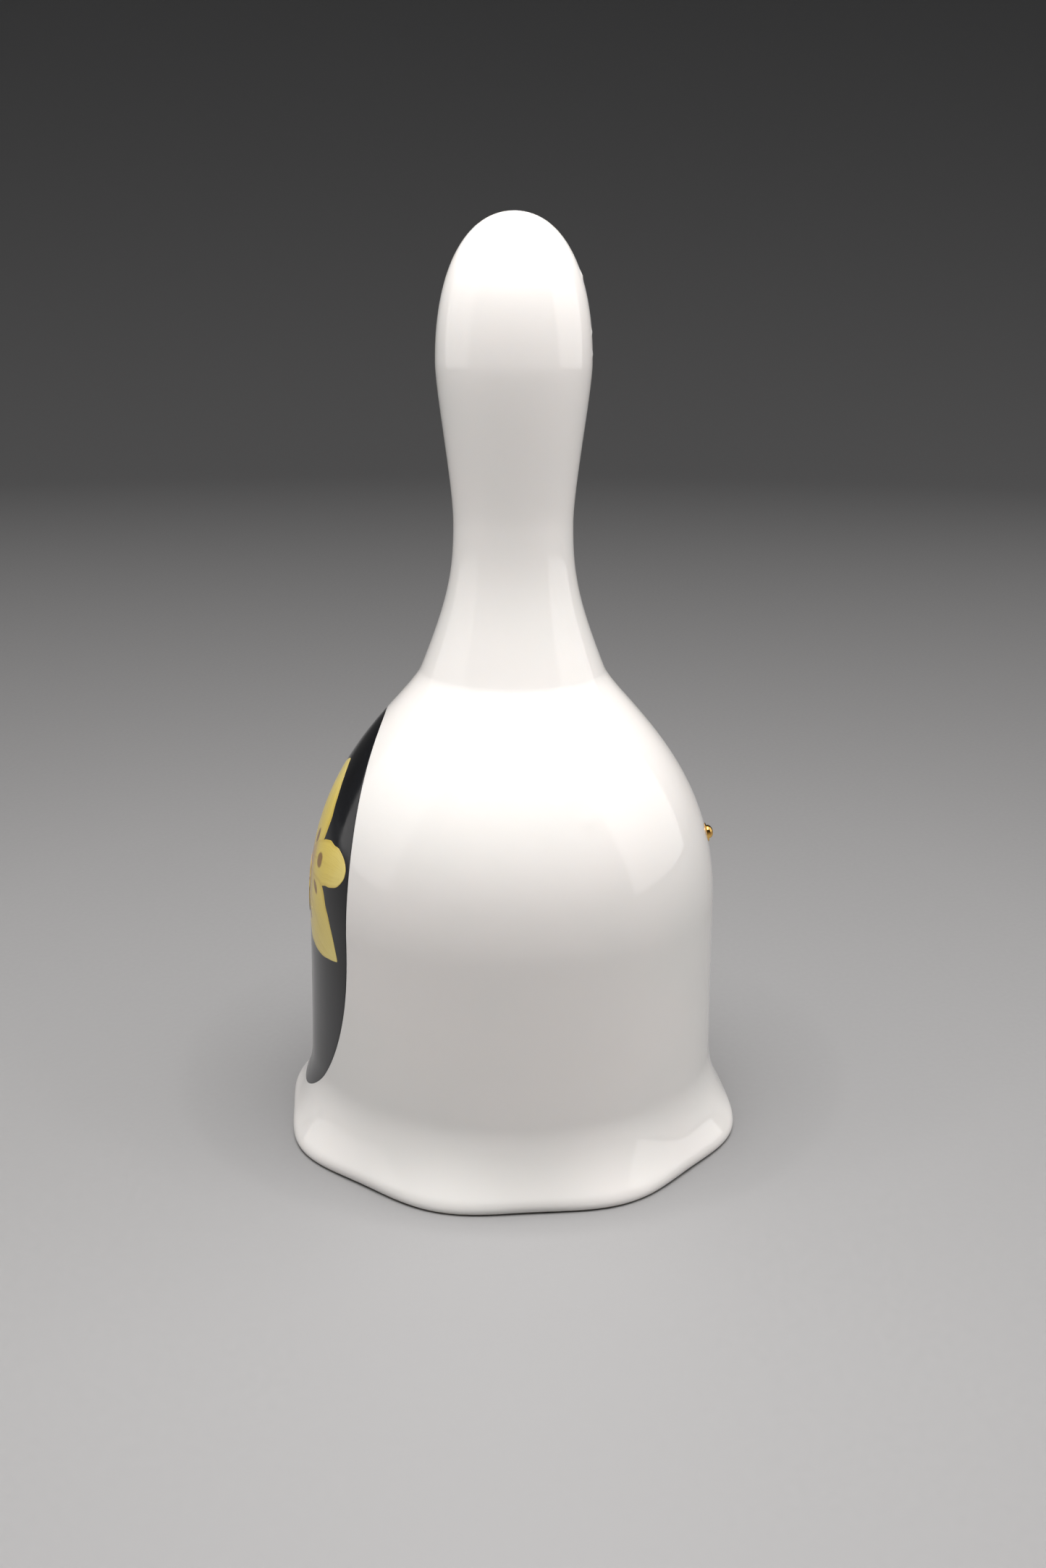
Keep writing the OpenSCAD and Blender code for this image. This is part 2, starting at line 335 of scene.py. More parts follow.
# Glazed porcelain; with a foot, the glaze stops in a wavering line just above the table
def porcelainMaterial(name, foot=False, speckShare=0.012):
    material, tree, shader = newMaterial(name, IOR=1.52, Subsurface_Weight=0.12)
    shader.inputs["Subsurface Radius"].default_value = (1.0, 0.85, 0.7)
    shader.inputs["Subsurface Scale"].default_value = 0.8 * mm
    place = objectPlace(tree)
    glaze = useGroup(tree, glazeGroup, {"Place": place, "Peel Scale": porcelain["peelScale"],
                                        "Speck Share": speckShare})
    handled = useGroup(tree, handlingGroup, {"Place": place, "Smear Scale": 55.0})
    base = mixColour(tree, glaze["Pool"], porcelain["body"], porcelain["pool"])
    base = mixColour(tree, mathNode(tree, "MULTIPLY", glaze["Speck"], 0.55), base,
                     porcelain["speck"])
    gloss = mixValue(tree, handled["Smear"], porcelain["gloss"], porcelain["smeared"])
    height = glaze["Height"]
    if foot:
        up = addNode(tree, "SeparateXYZ", {"Vector": place}).outputs["Z"]
        waver = noiseNode(tree, place, 160.0, 3.0)
        line = mathNode(tree, "SUBTRACT", up, mathNode(tree, "MULTIPLY", waver, 0.3 * mm))
        bare = rampNode(tree, line, porcelain["footGlaze"] * mm,
                        (porcelain["footGlaze"] - 0.1) * mm)
        grain = noiseNode(tree, place, 3800.0, 4.0)
        soil = noiseNode(tree, place, 260.0, 4.0)
        soiled = mixColour(tree, rampNode(tree, soil, 0.45, 0.75), porcelain["bisque"],
                           porcelain["footSoil"])
        base = mixColour(tree, bare, base, soiled)
        gloss = mixValue(tree, bare, gloss, 0.78)
        height = mixValue(tree, bare, height, mathNode(tree, "MULTIPLY", grain, 3.0))
    tree.links.new(base, shader.inputs["Base Color"])
    tree.links.new(gloss, shader.inputs["Roughness"])
    tree.links.new(bumpNode(tree, height, 0.6, porcelain["peelDepth"]), shader.inputs["Normal"])
    return material


cup = {
    "waistHeight": 37.0,  # the wall stands upright here
    "waistRadius": 31.85,
    "shoulderLift": 21.0,  # more keeps the wall upright for longer
    "creaseRadius": 14.15,
    "creaseHandle": (3.45, 6.0),  # how far out and down the dome's last curve handle lies
    "footSpread": 0.7,  # radius gained between the waist and the foot
    "skirtHeight": 12.0,  # the skirt flares out below this height
    "skirtPower": 2.0,
    "lipOut": 4.9,  # how far the flare would reach at the foot, before its lip is rounded
    "lipRound": 2.4,
    "footWidth": 1.5,  # the flat ring that the bell stands on
    "flutes": 8,
    "fluteTurn": 6.0,  # degrees
    "fluteDepth": 0.75,
    "wall": 2.8,
    "throatRadius": 9.0,  # the hole in the crown
    "crownUnder": 69.5,  # the underside of the crown
    "creaseSoftness": 0.04,
    "around": 288,  # points in each ring
}
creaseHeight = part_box("bell_cup")[1].z / mm
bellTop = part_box("handle")[1].z / mm
neck = {
    "radius": 9.0,
    "height": 95.8,
    "gripRadius": 11.5,
    "gripHeight": 119.1,
    "capFullness": 0.61,  # 0.55 is an ellipse, more is squarer
    "wall": 2.6,
    "capExtra": 0.6,  # the top is thicker by this
    "hollowLow": ([79.0, 84.0, 90.0], [9.0, 7.4, 6.4]),  # heights, and the hollow's radius
    "hollowHigh": ([96.0, 119.0], [0.0, 8.9]),
}

domeCurve = bezier([(cup["waistRadius"], cup["waistHeight"]),
                    (cup["waistRadius"], cup["waistHeight"] + cup["shoulderLift"]),
                    (cup["creaseRadius"] + cup["creaseHandle"][0],
                     creaseHeight - cup["creaseHandle"][1]),
                    (cup["creaseRadius"], creaseHeight)], 500)
flareCurve = bezier([(cup["creaseRadius"], creaseHeight), (neck["radius"] + 1.2, 83.5),
                     (neck["radius"], 87.7), (neck["radius"], neck["height"])], 300)
swellCurve = bezier([(neck["radius"], neck["height"]), (neck["radius"], 101.5),
                     (neck["gripRadius"], 114.8),
                     (neck["gripRadius"], neck["gripHeight"])], 300)
capRise = neck["capFullness"] * (bellTop - neck["gripHeight"])
capCurve = bezier([(neck["gripRadius"], neck["gripHeight"]),
                   (neck["gripRadius"], neck["gripHeight"] + capRise),
                   (neck["capFullness"] * neck["gripRadius"], bellTop), (0, bellTop)], 60)

# Small drips and pips in the glaze: angle, height, width and how far they stand proud
glazePips = [
    (114.0, 57.0, 0.85, 0.10),
    (169.0, 35.5, 0.35, 0.12),
    (173.0, 131.3, 0.55, 0.16),
    (172.0, 123.6, 0.32, 0.22),
    (171.5, 120.4, 0.40, 0.12),
    (251.0, 61.0, 0.70, 0.09),
    (298.0, 97.0, 0.45, 0.12),
]


# Each pip is a bell curve of the distance along the wall
def pipHeight(radius, angle, height):
    total = 0
    for degrees, level, width, proud in glazePips:
        sideways = radius * (np.mod(angle - math.radians(degrees) + np.pi, 2 * np.pi) - np.pi)
        total = total + proud * np.exp(-(sideways**2 + (height - level)**2) / width**2)
    return total


# The hand-finished wall is never quite round: two slow waves of a few hundredths of a millimetre
def handWaver(angle, height):
    return 0.04 * np.cos(2 * angle + 0.7 + height / 60) + 0.025 * np.cos(3 * angle - height / 23)


# Radius before the flutes: the dome curve above the waist, and below it the waist radius plus
# a spread that grows with the square of the depth. Near the crease the dome and the handle's
# flare are joined by a smooth maximum, half their sum plus half of a rounded difference.
def plainRadius(height):
    below = (cup["waistHeight"] - np.minimum(height, cup["waistHeight"])) / cup["waistHeight"]
    skirt = cup["waistRadius"] + cup["footSpread"] * below**2
    domeSlope = (domeCurve[-1, 0] - domeCurve[-2, 0]) / (domeCurve[-1, 1] - domeCurve[-2, 1])
    dome = np.interp(height, domeCurve[:, 1], domeCurve[:, 0])
    dome = dome + domeSlope * np.maximum(height - creaseHeight, 0)
    flareSlope = (flareCurve[1, 0] - flareCurve[0, 0]) / (flareCurve[1, 1] - flareCurve[0, 1])
    flare = np.interp(height, flareCurve[:, 1], flareCurve[:, 0])
    flare = flare + flareSlope * np.minimum(height - creaseHeight, 0)
    half = (dome - flare) / 2
    joined = (dome + flare) / 2 + np.sqrt(half**2 + cup["creaseSoftness"]**2)
    swell = np.interp(height, swellCurve[:, 1], swellCurve[:, 0])
    radius = np.where(height > cup["waistHeight"], joined, skirt)
    return np.where(height > neck["height"], swell, radius)


# Flutes: a cosine of the angle; they and the flare grow with a power of the depth below the
# skirt's top
def wallRadius(angle, height):
    ridge = -cup["fluteDepth"] * np.cos(cup["flutes"] * (angle - math.radians(cup["fluteTurn"])))
    share = np.clip(1 - height / cup["skirtHeight"], 0, 1)**cup["skirtPower"]
    radius = plainRadius(height) + (cup["lipOut"] + ridge) * share
    return radius + handWaver(angle, height)


# The cup is one closed loop of rings: foot, rounded lip, outer wall, crown, inner wall, foot
def makeCup():
    angle = roundAngles(cup["around"])[None, :]
    lip = np.linspace(0, np.pi / 2, 15)
    roundInset = cup["lipRound"] * (1 - np.sin(lip))
    roundHeight = cup["lipRound"] * (1 - np.cos(lip))
    outerHeight = np.concatenate([np.linspace(cup["lipRound"], cup["skirtHeight"], 26)[1:],
                                  np.linspace(cup["skirtHeight"], cup["waistHeight"], 30)[1:],
                                  np.linspace(cup["waistHeight"], creaseHeight - 3, 48)[1:],
                                  np.linspace(creaseHeight - 3, creaseHeight + 0.15, 12)[1:]])
    height = np.concatenate([roundHeight, outerHeight])[:, None]
    inset = np.concatenate([roundInset, np.zeros(len(outerHeight))])[:, None]
    radius = wallRadius(angle, height) - inset
    radius = radius + pipHeight(radius, angle, height)
    outside = turned(radius, angle, height)

    crown = turned(np.array([[cup["throatRadius"] + 2.5], [cup["throatRadius"]]]), angle,
                   np.array([[creaseHeight - 0.1], [creaseHeight - 0.1]]))

    innerWaist = cup["waistRadius"] - cup["wall"]
    innerDome = bezier([(cup["throatRadius"], cup["crownUnder"]),
                        (cup["throatRadius"] + 9, cup["crownUnder"] - 2.5),
                        (innerWaist, cup["waistHeight"] + 19),
                        (innerWaist, cup["waistHeight"])], 36)
    dome = turned(innerDome[:-1, :1], angle, innerDome[:-1, 1:])
    innerHeight = np.linspace(cup["waistHeight"], 1.0, 44)[:, None]
    wall = turned(wallRadius(angle, innerHeight) - cup["wall"], angle, innerHeight)
    footInner = np.array([[0.45], [0.12], [0.0]])
    footInset = np.array([[cup["wall"] - 0.04], [cup["wall"] - 0.14],
                          [cup["lipRound"] + cup["footWidth"]]])
    foot = turned(wallRadius(angle, footInner) - footInset, angle, footInner)
    rings = np.concatenate([outside, crown, dome, wall, foot])
    makePiece("bellCup", [ringShell(rings, wrap=True)],
              porcelainMaterial("cupPorcelain", foot=True), "bell", ["bell_cup"])


# The handle is one closed shell: down the hollow inside, across the seat, and up the outside
def makeHandle():
    angle = roundAngles(160)[None, :]
    hollowTop = bellTop - neck["wall"] - neck["capExtra"]
    rise = np.linspace(0, np.pi / 2, 14)[1:, None]
    hollowCap = turned((neck["gripRadius"] - neck["wall"]) * np.sin(rise), angle,
                       neck["gripHeight"] + (hollowTop - neck["gripHeight"]) * np.cos(rise))
    hollowHeight = np.linspace(neck["gripHeight"], neck["hollowLow"][0][0], 30)[1:, None]
    hollowRadius = np.maximum(np.interp(hollowHeight, *neck["hollowLow"]),
                              np.interp(hollowHeight, *neck["hollowHigh"]))
    hollow = turned(hollowRadius, angle, hollowHeight)
    seat = turned(np.array([[cup["throatRadius"]], [cup["creaseRadius"] - 0.8]]), angle,
                  np.array([[creaseHeight], [creaseHeight - 0.05]]))
    outerHeight = np.concatenate([np.linspace(creaseHeight + 0.05, 80, 22),
                                  np.linspace(80, neck["gripHeight"], 78)[1:]])[:, None]
    radius = plainRadius(outerHeight) + handWaver(angle, outerHeight)
    radius = radius + pipHeight(radius, angle, outerHeight)
    outside = turned(radius, angle, outerHeight)
    capHeight = capCurve[1:-1, 1:]
    capShare = capCurve[1:-1, :1] / neck["gripRadius"]
    capRadius = capCurve[1:-1, :1] + handWaver(angle, capHeight) * capShare
    capRadius = capRadius + pipHeight(capRadius, angle, capHeight)
    cap = turned(capRadius, angle, capHeight)
    rings = np.concatenate([hollowCap, hollow, seat, outside, cap])
    poles = np.array([[0, 0, hollowTop], [0, 0, bellTop]])
    makePiece("bellHandle", [ringShell(rings, poles)], porcelainMaterial("handlePorcelain"),
              "bell", ["handle"])


makeCup()
makeHandle()
print("porcelain cup and handle made")


# A point on the glaze from its distance round the wall, its height and its stand-off
def onWall(sideways, height, standOff):
    angle = sideways / plainRadius(height)
    return turned(wallRadius(angle, height) + standOff, angle, height)


oval = {
    "halfWidth": 22.4,
    "low": 5.5,
    "high": 67.0,
    "fullness": (2.4, 2.8),  # below and above the middle: 2 is an ellipse, more is squarer
    "lift": 0.045,
    "root": -0.06,  # the back lies this far below the glaze
    "ink": colour(0.0045, 0.0048, 0.0055),
    "thinInk": colour(0.016, 0.017, 0.02),
}


# Black enamel: dense ink that thins in slow clouds, with pinholes that show the white below
def blackMaterial():
    material, tree, shader = newMaterial("blackEnamel", IOR=1.5)
    place = objectPlace(tree)
    glaze = useGroup(tree, glazeGroup, {"Place": place, "Peel Scale": 600.0, "Speck Share": 0.015})
    handled = useGroup(tree, handlingGroup, {"Place": place, "Smear Scale": 90.0})
    base = mixColour(tree, glaze["Pool"], oval["ink"], oval["thinInk"])
    base = mixColour(tree, mathNode(tree, "MULTIPLY", glaze["Speck"], 0.5), base, porcelain["body"])
    base = mixColour(tree, mathNode(tree, "MULTIPLY", handled["Dust"], 0.03), base,
                     porcelain["body"])
    tree.links.new(base, shader.inputs["Base Color"])
    tree.links.new(mixValue(tree, handled["Smear"], 0.09, 0.2), shader.inputs["Roughness"])
    tree.links.new(bumpNode(tree, glaze["Height"], 0.5, 0.01), shader.inputs["Normal"])
    return material


# A rounded oval in polar form: the width goes with the cosine, the height with a power of the
# sine, and both shrink with the ring's share. Its front is lifted, its back sunk in the glaze.
def makeOval():
    turn = roundAngles(200)[None, :]
    share = np.sin(np.linspace(0.04, 1, 40) * np.pi / 2)[:, None]
    middle = (oval["low"] + oval["high"]) / 2
    reach = (oval["high"] - oval["low"]) / 2
    fullness = np.where(np.sin(turn) < 0, *oval["fullness"])
    vertical = np.sign(np.sin(turn)) * np.abs(np.sin(turn))**(2 / fullness)
    height = middle + reach * share * vertical
    sideways = oval["halfWidth"] * share * np.cos(turn) * plainRadius(height) / cup["waistRadius"]
    lift = oval["lift"] * np.sqrt(1 - np.clip((share - 0.985) / 0.015, 0, 1)**2)
    front = onWall(sideways, height, lift)
    back = onWall(sideways, height, np.full_like(share, oval["root"]))[::-1]
    poles = np.stack([onWall(0, middle, oval["lift"]), onWall(0, middle, oval["root"])])
    makePiece("ovalTransfer", [ringShell(np.concatenate([front, back]), poles)], blackMaterial(),
              "bell", ["oval_transfer"])


flower = {
    "sideways": 1.2,  # the flower's centre on the wall
    "height": 44.0,
    "layer": 0.03,  # each layer of enamel lies this much higher
    "yellow": colour(0.78, 0.61, 0.13),
    "paleYellow": colour(0.82, 0.70, 0.26),
    "ochre": colour(0.50, 0.33, 0.05),
    "blush": colour(0.52, 0.33, 0.15),
    "brown": colour(0.20, 0.075, 0.018),
    "rust": colour(0.30, 0.055, 0.015),
}

# Petals: heading from straight up, start and reach from the centre, half width, where they are
# widest (below 1 is nearer the root), how blunt they are (lower is blunter), sideways sweep
# and depth of the ruffle
sepals = [
    (6, -2.0, 15.9, 8.6, 0.97, 0.74, 0.0, 0.010),
    (121.6, 1.2, 21.8, 6.0, 0.80, 0.88, 0.4, 0.016),
    (-120, 1.2, 21.6, 5.9, 0.80, 0.88, -0.4, 0.016),
]
petals = [
    (82.2, 1.5, 19.2, 3.4, 1.5, 0.46, -0.7, 0.030),
    (-84, 1.5, 20.0, 3.5, 1.5, 0.46, 0.7, 0.030),
]
lipLobes = [
    (142, 0.6, 5.8, 2.2, 0.9, 0.6, 0.3, 0.03),
    (-140, 0.6, 5.8, 2.2, 0.9, 0.6, -0.3, 0.03),
    (180, 0.4, 9.6, 3.3, 1.5, 0.5, 0.0, 0.06),
]


# A petal grows along its heading. Its half width is a power of the sine of its length, with a
# ruffled edge, and each cross-section is a thin lens whose back is sunk in the glaze.
# The pattern runs from -1 to 1 across and from 0 at the centre to 1 at the tip.
def petalShell(heading, start, reach, halfWidth, widest, blunt, sweep, ruffle, layer):
    along = (1 - np.cos(np.linspace(0.06, 0.975, 44) * np.pi)) / 2
    along = along[:, None]
    turn = roundAngles(48)[None, :]
    side = np.cos(turn)
    wide = halfWidth * np.sin(np.pi * along**widest)**blunt
    wave = np.sin(along * 23 + heading) + 0.6 * np.sin(along * 41 + 2 * heading + side)
    across = side * wide * (1 + ruffle * wave) + sweep * np.sin(np.pi * along)
    distance = start + (reach - start) * along + 0 * turn
    angle = math.radians(heading)
    sideways = flower["sideways"] + distance * math.sin(angle) + across * math.cos(angle)
    height = flower["height"] + distance * math.cos(angle) - across * math.sin(angle)
    top = oval["lift"] + flower["layer"] * layer
    lens = np.where(np.sin(turn) > 0, flower["layer"] * np.abs(np.sin(turn))**0.35, -0.05)
    rings = onWall(sideways, height, top + lens)
    poles = rings[[0, -1]].mean(1)
    pattern = np.stack(np.broadcast_arrays(side, along), -1)
    return ringShell(rings, poles, pattern=pattern)


# Printed petal enamel: blushed at the root, yellow in the blade, paler towards the tip, with
# fine veins along it, a soft midrib, an ochre edge and brown blotches near the root.
# A blotch is its distance aside, its place along the petal and its half width.
def petalMaterial(name, blotch, veinStrength=0.3, freckles=0.0):
    material, tree, shader = newMaterial(name, IOR=1.5)
    place = objectPlace(tree)
    pattern = patternPlace(tree)
    parts = addNode(tree, "SeparateXYZ", {"Vector": pattern})
    across, along = parts.outputs["X"], parts.outputs["Y"]
    away = mathNode(tree, "ABSOLUTE", across)
    cloud = noiseNode(tree, place, 350.0, 3.0)
    shift = mathNode(tree, "MULTIPLY", mathNode(tree, "SUBTRACT", cloud, 0.5), 0.22)
    shifted = mathNode(tree, "ADD", along, shift)
    base = mixColour(tree, rampNode(tree, shifted, 0.12, 0.42), flower["blush"], flower["yellow"])
    base = mixColour(tree, rampNode(tree, shifted, 0.55, 1.0, 0.0, 0.65), base,
                     flower["paleYellow"])

    streaks = stretched(tree, pattern, 9.0, 0.9)
    vein = noiseNode(tree, streaks, 2.2, 4.0, Roughness=0.65)
    vein = rampNode(tree, vein, 0.5, 0.72, 0.0, veinStrength)
    base = mixColour(tree, vein, base, flower["ochre"])
    rib = mathNode(tree, "MULTIPLY", rampNode(tree, away, 0.13, 0.0),
                   rampNode(tree, along, 0.95, 0.3))
    base = mixColour(tree, mathNode(tree, "MULTIPLY", rib, 0.28), base, flower["ochre"])
    base = mixColour(tree, rampNode(tree, away, 0.78, 1.0, 0.0, 0.4), base, flower["ochre"])

    spotAside, spotAlong, spotWidth = blotch
    sideRun = mathNode(tree, "DIVIDE", mathNode(tree, "SUBTRACT", away, spotAside), spotWidth)
    lengthRun = mathNode(tree, "DIVIDE", mathNode(tree, "SUBTRACT", along, spotAlong), 0.075)
    run = mathNode(tree, "ADD", mathNode(tree, "MULTIPLY", sideRun, sideRun),
                   mathNode(tree, "MULTIPLY", lengthRun, lengthRun))
    run = mathNode(tree, "ADD", run, mathNode(tree, "MULTIPLY", cloud, 0.9))
    base = mixColour(tree, rampNode(tree, run, 1.7, 0.9, 0.0, 0.85), base, flower["brown"])
    if freckles:
        cells = addNode(tree, "TexVoronoi", {"Vector": place, "Scale": 1250.0}).outputs["Distance"]
        near = mathNode(tree, "MULTIPLY", rampNode(tree, cells, 0.36, 0.2),
                        rampNode(tree, along, 0.95, 0.55))
        base = mixColour(tree, mathNode(tree, "MULTIPLY", near, freckles), base, flower["rust"])
    handled = useGroup(tree, handlingGroup, {"Place": place, "Smear Scale": 120.0})
    tree.links.new(base, shader.inputs["Base Color"])
    tree.links.new(mixValue(tree, handled["Smear"], 0.16, 0.28), shader.inputs["Roughness"])
    height = mathNode(tree, "ADD", vein, cloud)
    tree.links.new(bumpNode(tree, height, 0.5, 0.012), shader.inputs["Normal"])
    return material


def makeFlower():
    makePiece("orchidSepals", [petalShell(*sepal, layer=0) for sepal in sepals],
              petalMaterial("sepalEnamel", (0.54, 0.385, 0.11)),
              "bell", ["orchid_sepals"])
    makePiece("orchidPetals", [petalShell(*petal, layer=1) for petal in petals],
              petalMaterial("petalEnamel", (0.1, 0.47, 0.3)),
              "bell", ["orchid_petals"])
    makePiece("orchidLip", [petalShell(*lobe, layer=2 + i) for i, lobe in enumerate(lipLobes)],
              petalMaterial("lipEnamel", (0.0, 0.78, 0.5), veinStrength=0.5, freckles=0.8),
              "bell", ["orchid_lip"])


makeOval()
makeFlower()
print("transfers laid on")


bead = {
    "angle": 180.0,  # degrees round from the front
    "height": 47.3,
    "radius": 1.1,
    "foot": 1.5,  # radius of the foot
    "rise": 0.82,  # of the dome over its foot
    "gold": colour(0.86, 0.56, 0.16),
    "thinGold": colour(0.62, 0.3, 0.07),
}


# Bright gold: brushed on, so it is thinner and redder in clouds, with faint ripples
def giltMaterial():
    material, tree, shader = newMaterial("gilding", Metallic=1.0)
    place = objectPlace(tree)
    cloud = noiseNode(tree, place, 1500.0, 4.0)
    fine = noiseNode(tree, place, 5200.0, 2.0)
    base = mixColour(tree, rampNode(tree, cloud, 0.35, 0.75), bead["gold"], bead["thinGold"])
    tree.links.new(base, shader.inputs["Base Color"])
    tree.links.new(rampNode(tree, cloud, 0.3, 0.8, 0.1, 0.26), shader.inputs["Roughness"])
    height = mathNode(tree, "ADD", cloud, fine)
    tree.links.new(bumpNode(tree, height, 0.5, 0.03), shader.inputs["Normal"])
    return material


# A drop of gold on a thin foot: a quarter sine rises over the foot to a flattened dome.
# It is turned in place, then tipped to stand square to the wall.
def makeBead():
    turn = roundAngles(48)[None, :]
    rise = np.linspace(0, np.pi / 2, 14)
    foot = bead["foot"]
    profile = np.vstack([[foot - 0.12, -0.15], [foot, 0.06], [foot - 0.08, 0.2],
                         np.stack([bead["radius"] * np.cos(rise[:-1])**0.92,
                                   0.25 + bead["rise"] * np.sin(rise[:-1])], -1)])
    radius = profile[:, :1] * (1 + 0.02 * np.cos(3 * turn + 1))
    rings = turned(radius, turn, profile[:, 1:])
    poles = np.array([[0, 0, -0.15], [0, 0, 0.25 + bead["rise"]]])
    points, faces, pattern = ringShell(rings, poles)
    around = math.radians(bead["angle"])
    step = 0.5
    drop = plainRadius(bead["height"] - step) - plainRadius(bead["height"] + step)
    lean = math.atan(drop / (2 * step))
    outwards = np.array([math.sin(around) * math.cos(lean),
                         -math.cos(around) * math.cos(lean), math.sin(lean)])
    sideways = np.array([math.cos(around), math.sin(around), 0])
    axes = np.stack([sideways, np.cross(outwards, sideways), outwards])
    seat = turned(wallRadius(around, bead["height"]), around, bead["height"])
    makePiece("giltBead", [(points @ axes + seat, faces, pattern)], giltMaterial(),
              "bell", ["gilt_bead"])


makeBead()
print("gilt bead set")


# Radii are to the middle of the wire, and wires are given by their thickness
clapper = {
    "eyeRadius": 3.2,
    "eyeWire": 1.6,
    "linkBend": 2.2,
    "linkWire": 1.2,
    "linkGap": 0.08,  # half the gap between the link's ends
    "rodEye": 2.0,
    "rodWire": 1.4,
    "tailTurns": 2.6,
    "tailDrop": 0.75,  # from the rod's eye down to the start of its tail
    "tailGap": 0.06,  # between one turn of the tail and the next
    "tailSlack": 0.03,  # between the tail and the shank
    "brass": colour(0.66, 0.47, 0.20),
    "tarnish": colour(0.26, 0.17, 0.08),
}


# Drawn brass: die lines that run along the wire, and brown tarnish in patches
def brassMaterial(name, lines=True):
    material, tree, shader = newMaterial(name, Metallic=1.0)
    place = objectPlace(tree)
    patch = noiseNode(tree, place, 420.0, 5.0, Roughness=0.6)
    dull = rampNode(tree, patch, 0.42, 0.72)
    base = mixColour(tree, mathNode(tree, "MULTIPLY", dull, 0.7), clapper["brass"],
                     clapper["tarnish"])
    tree.links.new(base, shader.inputs["Base Color"])
    tree.links.new(mixValue(tree, dull, 0.24, 0.5), shader.inputs["Roughness"])
    height = patch
    if lines:
        scratch = noiseNode(tree, stretched(tree, patternPlace(tree), 34.0, 0.35), 1.0, 3.0)
        height = mathNode(tree, "ADD", patch, scratch)
    tree.links.new(bumpNode(tree, height, 0.4, 0.02), shader.inputs["Normal"])
    return material


plug = {
    "sag": 0.35,  # in the middle of the underside
    "edgeLift": 0.2,
    "lumps": (0.05, 0.03),
    "collar": 0.3,  # the bevel at the top
    "chalk": colour(0.72, 0.67, 0.58),
    "grey": colour(0.58, 0.53, 0.46),
    "pit": colour(0.34, 0.3, 0.25),
}


# Cast plaster: pitted and chalky, greyed where it was smoothed by hand
def plasterMaterial():
    material, tree, shader = newMaterial("castPlaster")
    place = objectPlace(tree)
    chalk = noiseNode(tree, place, 380.0, 6.0, Roughness=0.65)
    pits = addNode(tree, "TexVoronoi", {"Vector": place, "Scale": 1100.0}).outputs["Distance"]
    pit = rampNode(tree, pits, 0.24, 0.1)
    base = mixColour(tree, rampNode(tree, chalk, 0.35, 0.7), plug["chalk"], plug["grey"])
    base = mixColour(tree, mathNode(tree, "MULTIPLY", pit, 0.5), base, plug["pit"])
    tree.links.new(base, shader.inputs["Base Color"])
    tree.links.new(rampNode(tree, chalk, 0.3, 0.8, 0.82, 0.95), shader.inputs["Roughness"])
    height = mathNode(tree, "SUBTRACT", chalk, mathNode(tree, "MULTIPLY", pit, 0.6))
    tree.links.new(bumpNode(tree, height, 0.8, 0.12), shader.inputs["Normal"])
    return material


# The plug's underside sags a little in the middle and is left lumpy: a few crossed sine waves
def makePlug():
    turn = roundAngles(96)[None, :]
    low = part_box("crown_plug")[0].z / mm
    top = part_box("crown_plug")[1].z / mm
    edge = cup["throatRadius"] - 0.02
    radius = np.linspace(0.03, 1, 26)[:, None] * edge
    x, y = radius * np.sin(turn), -radius * np.cos(turn)
    coarse, fine = plug["lumps"]
    lumps = coarse * np.sin(1.3 * x + 0.6) * np.cos(1.1 * y) + fine * np.sin(2.9 * x - 2.1 * y)
    lift = plug["edgeLift"] * smoothStep((radius / edge - 0.88) / 0.12)
    sag = plug["sag"] * (1 - (radius / edge)**2) - lift
    under = turned(radius, turn, low - sag - lumps)
    bevel = plug["collar"]
    collar = turned(np.array([[edge], [edge], [edge - bevel]]), turn,
                    np.array([[low + 1], [top - bevel], [top]]))
    poles = np.array([[0, 0, low - plug["sag"]], [0, 0, top]])
    makePiece("crownPlug", [ringShell(np.concatenate([under, collar]), poles)],
              plasterMaterial(), "bell", ["crown_plug"])


# An eye pin in the XZ plane: the shank comes down, kinks aside, and runs round the circle
def makeHangerEye():
    low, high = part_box("hanger_eye")
    ring = clapper["eyeRadius"]
    centre = low.z / mm + clapper["eyeWire"] / 2 + ring
    begin, end = math.radians(48), math.radians(-254)
    sweep = np.linspace(begin, end, 90)
    circle = np.stack([ring * np.cos(sweep), 0 * sweep, centre + ring * np.sin(sweep)], -1)
    leave = np.array([math.cos(begin + np.pi / 2), 0, math.sin(begin + np.pi / 2)])
    kinkTop = np.array([0, 0, centre + ring + 1.3])
    kink = bezier([kinkTop, kinkTop - [0, 0, 0.9], circle[0] + 1.1 * leave, circle[0]], 16)
    shank = np.linspace([0, 0, high.z / mm - 0.3], kinkTop, 12)
    path = np.vstack([shank[:-1], kink[:-1], circle])
    makePiece("hangerEye", [wireShell(path, clapper["eyeWire"] / 2, (0, 1, 0))],
              brassMaterial("eyeBrass"), "bell", ["hanger_eye"])


